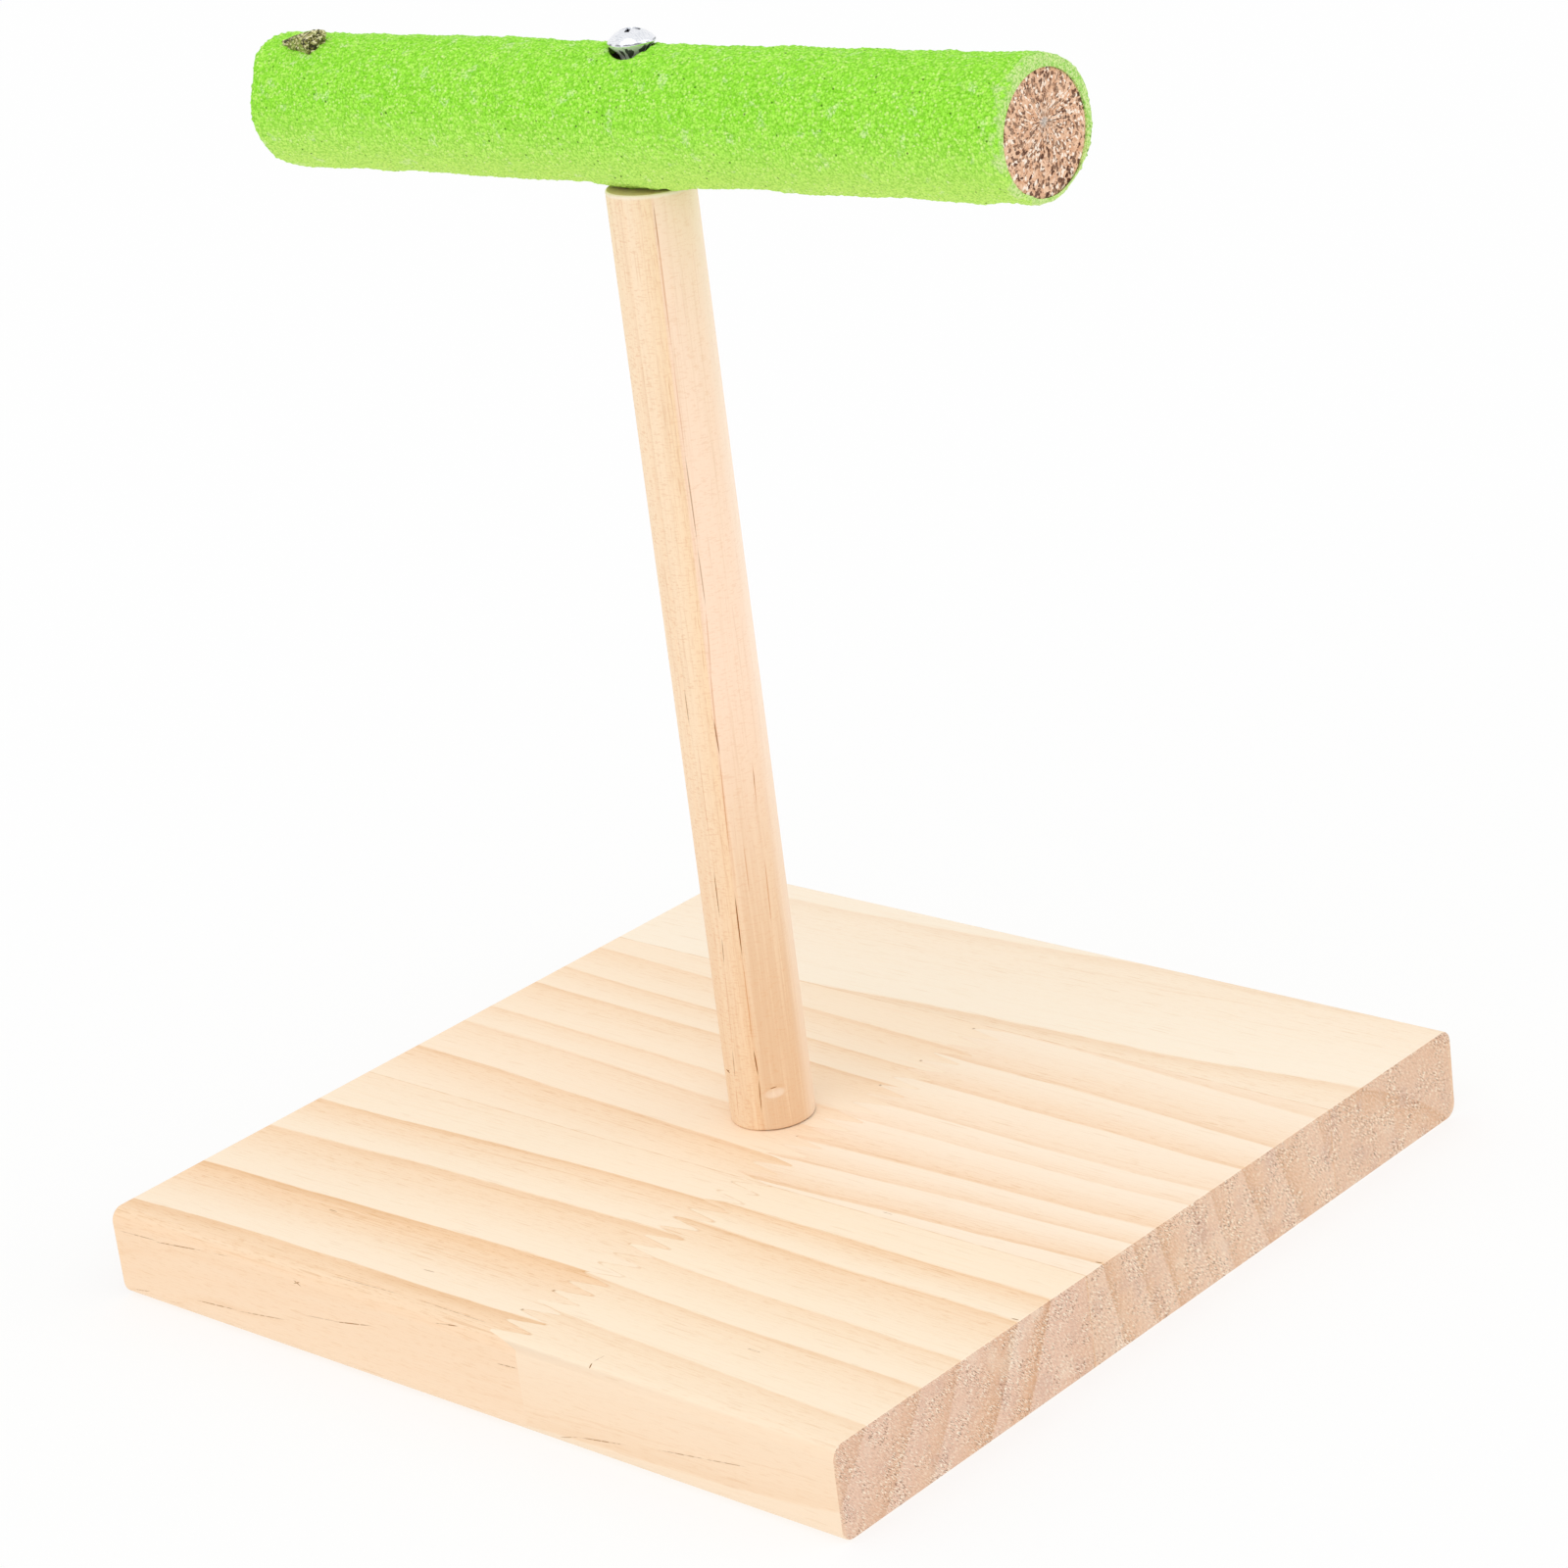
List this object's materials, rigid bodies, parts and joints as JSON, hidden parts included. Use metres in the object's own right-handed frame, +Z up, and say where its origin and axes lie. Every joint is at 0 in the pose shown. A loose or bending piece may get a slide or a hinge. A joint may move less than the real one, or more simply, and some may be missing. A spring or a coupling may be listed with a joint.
{
  "type": "bird perch stand",
  "caption": "Table-top T perch for a pet bird: a square finger-jointed pine board, a round dowel post and a green sand-coated perch bar that turns on its screw.",
  "frame": {"origin": "centre of the board's underside, on the surface that the stand rests on", "axes": "+Z up along the post, +X along the board's grain and nearly along the perch, +Y to the board's back stave"},
  "size_m": [0.2, 0.2, 0.2507],
  "materials": {
    "pine_board": "planed bare pine",
    "dowel_wood": "sanded bare softwood",
    "branch_wood": "sawn end grain",
    "green_grit": "resin-bound dyed sand, rough",
    "screw_steel": "bright zinc plate"
  },
  "bodies": {
    "base": {"front_left_block": "pine_board", "front_right_block": "pine_board", "middle_left_block": "pine_board", "middle_right_block": "pine_board", "back_stave": "pine_board"},
    "upright": {"post": "dowel_wood", "base_screw": "screw_steel", "perch_screw": "screw_steel"},
    "perch": {"perch_core": "branch_wood", "grit_coat": "green_grit"}
  },
  "joints": [
    {"name": "post_turn", "type": "hinge", "parent": "base", "child": "upright", "pos_m": [-0.0035, 0.0014, 0.02], "axis": [0, 0, 1], "continuous": true},
    {"name": "perch_swivel", "type": "hinge", "parent": "upright", "child": "perch", "pos_m": [-0.0035, 0.0014, 0.22], "axis": [0, 0, 1], "continuous": true}
  ]
}
